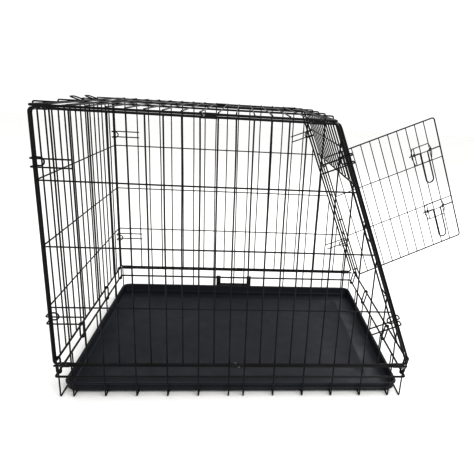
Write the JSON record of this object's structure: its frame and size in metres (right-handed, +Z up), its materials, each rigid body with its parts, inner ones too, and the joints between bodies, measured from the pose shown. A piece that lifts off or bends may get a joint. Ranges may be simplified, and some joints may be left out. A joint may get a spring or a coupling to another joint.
{
  "type": "wire dog crate",
  "caption": "Folding wire dog crate with a sloping door end, hinged end panels, a door with slide bolts, a lift-out plastic tray and a carry handle.",
  "frame": {"origin": "middle of the base on the floor, halfway between the end wires and halfway between the side frames", "axes": "+X towards the sloping door end, +Y towards the side with the carry handle and the door hinge, +Z up"},
  "size_m": [1.3476, 0.6494, 0.7424],
  "materials": {
    "bolt_wire": "black powder coat, satin",
    "door_wire": "black powder coat, satin",
    "fitting_wire": "black powder coat, satin",
    "handle_plastic": "moulded black plastic",
    "panel_wire": "black powder coat, satin",
    "sleeve_steel": "black coated sheet steel, worn bright at the edges",
    "tray_plastic": "moulded, slightly pebbled charcoal plastic"
  },
  "bodies": {
    "crate_frame": {"base_far_skirt": "panel_wire", "base_floor_grid": "panel_wire", "base_front_skirt": "panel_wire", "base_near_skirt": "panel_wire", "base_rear_skirt": "panel_wire", "far_foot_sleeve_front": "sleeve_steel", "far_foot_sleeve_middle": "sleeve_steel", "far_foot_sleeve_rear": "sleeve_steel", "far_front_hook_high": "fitting_wire", "far_front_hook_low": "fitting_wire", "far_lid_sleeve_front": "sleeve_steel", "far_lid_sleeve_middle": "sleeve_steel", "far_lid_sleeve_rear": "sleeve_steel", "far_rear_hook_high": "fitting_wire", "far_rear_hook_low": "fitting_wire", "far_side_panel": "panel_wire", "lid_front_hooks": "fitting_wire", "lid_panel": "panel_wire", "lid_rear_hooks": "fitting_wire", "lid_rear_loops": "fitting_wire", "near_foot_sleeve_front": "sleeve_steel", "near_foot_sleeve_middle": "sleeve_steel", "near_foot_sleeve_rear": "sleeve_steel", "near_front_hook_high": "fitting_wire", "near_front_hook_low": "fitting_wire", "near_lid_sleeve_front": "sleeve_steel", "near_lid_sleeve_middle": "sleeve_steel", "near_lid_sleeve_rear": "sleeve_steel", "near_rear_hook_high": "fitting_wire", "near_rear_hook_low": "fitting_wire", "near_side_panel": "panel_wire"},
    "rear_end": {"rear_end_panel": "panel_wire", "rear_hinge_eyes": "fitting_wire"},
    "front_end": {"front_far_jamb": "panel_wire", "front_head_grille": "panel_wire", "front_hinge_eyes": "fitting_wire", "front_near_jamb": "panel_wire", "front_sill": "panel_wire", "lower_latch_catch": "fitting_wire", "upper_latch_catch": "fitting_wire"},
    "door": {"door_panel": "door_wire", "door_hinge_eyes": "fitting_wire", "lower_latch_bracket": "fitting_wire", "upper_latch_bracket": "fitting_wire"},
    "upper_bolt": {"upper_latch_bolt": "bolt_wire"},
    "lower_bolt": {"lower_latch_bolt": "bolt_wire"},
    "tray": {"tray": "tray_plastic"},
    "carry_handle": {"carry_handle": "handle_plastic"}
  },
  "joints": [
    {"name": "rear_end_fold", "type": "hinge", "parent": "crate_frame", "child": "rear_end", "pos_m": [-0.4545, 0, 0.063], "axis": [0, 1, 0], "range_deg": [0, 90]},
    {"name": "front_end_fold", "type": "hinge", "parent": "crate_frame", "child": "front_end", "pos_m": [0.4545, 0, 0.063], "axis": [0, -1, 0], "range_deg": [0, 68]},
    {"name": "door_hinge", "type": "hinge", "parent": "front_end", "child": "door", "pos_m": [0.36856, 0.236, 0.3359], "axis": [0.3735, 0, -0.9277], "range_deg": [-50, 96]},
    {"name": "upper_bolt_slide", "type": "slide", "parent": "door", "child": "upper_bolt", "axis": [0.9226, 0.1045, 0.3714], "range_m": [0, 0.016]},
    {"name": "lower_bolt_slide", "type": "slide", "parent": "door", "child": "lower_bolt", "axis": [0.9226, 0.1045, 0.3714], "range_m": [0, 0.016]},
    {"name": "tray_lift", "type": "slide", "parent": "crate_frame", "child": "tray", "axis": [0, 0, 1], "range_m": [0, 0.012]},
    {"name": "carry_handle_swing", "type": "hinge", "parent": "crate_frame", "child": "carry_handle", "pos_m": [0, 0.3155, 0.063], "axis": [1, 0, 0], "range_deg": [0, 140]}
  ]
}
